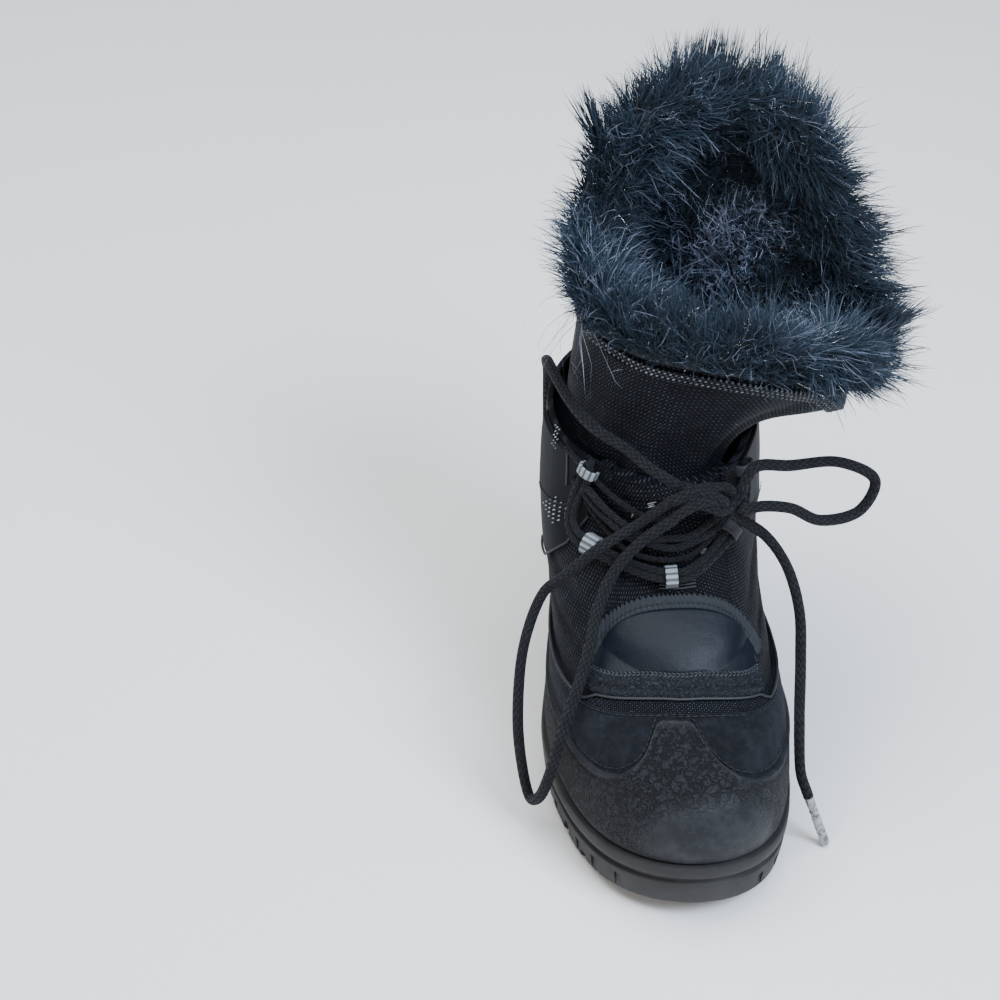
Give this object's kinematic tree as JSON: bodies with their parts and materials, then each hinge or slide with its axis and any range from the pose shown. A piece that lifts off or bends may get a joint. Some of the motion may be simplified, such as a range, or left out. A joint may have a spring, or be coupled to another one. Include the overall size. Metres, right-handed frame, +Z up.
{
  "type": "snow boot",
  "caption": "Child's right winter boot with a lugged rubber sole, rubber toe shell, woven laced upper, a flared woven gaiter and a deep fur collar.",
  "frame": {"origin": "on the floor under the middle of the foot, on the sole's spine", "axes": "+Z up, -Y towards the toe, +X towards the inner (big toe) side of the right foot"},
  "size_m": [0.1493, 0.2132, 0.2593],
  "materials": {
    "rubber": "matt moulded rubber, dusty",
    "shell_rubber": "moulded rubber with a leather grain, satin on the bumper",
    "suede": "matt black suede",
    "woven_nylon": "coarse basket-weave nylon, black with pale flecks",
    "smooth_leather": "smooth black leather, satin",
    "fur": "long blue-black pile with silver glints",
    "lace": "round braided black cord",
    "webbing": "grey and white striped webbing",
    "aglet": "silver-grey plastic tip",
    "felt": "dark felt"
  },
  "bodies": {
    "root": {"outsole": "rubber", "insole": "felt", "upper": "woven_nylon", "tongue": "woven_nylon", "rubber_shell": "shell_rubber", "mudguard": "suede", "padded_strip": "smooth_leather", "saddle": "smooth_leather", "pinked_band": "suede", "wing_outer": "smooth_leather", "wing_inner": "smooth_leather", "gaiter": "woven_nylon", "fur_collar": "fur", "lace_crossings": "lace", "loop_outer_low": "webbing", "loop_outer_high": "webbing", "loop_inner_low": "webbing", "loop_inner_high": "webbing", "loop_middle": "webbing", "lace_knot": "lace", "lace_loop_inner": "lace", "lace_loop_outer": "lace", "lace_end_inner": "lace", "aglet_inner": "aglet", "lace_end_outer": "lace", "aglet_outer": "aglet"}
  },
  "joints": []
}
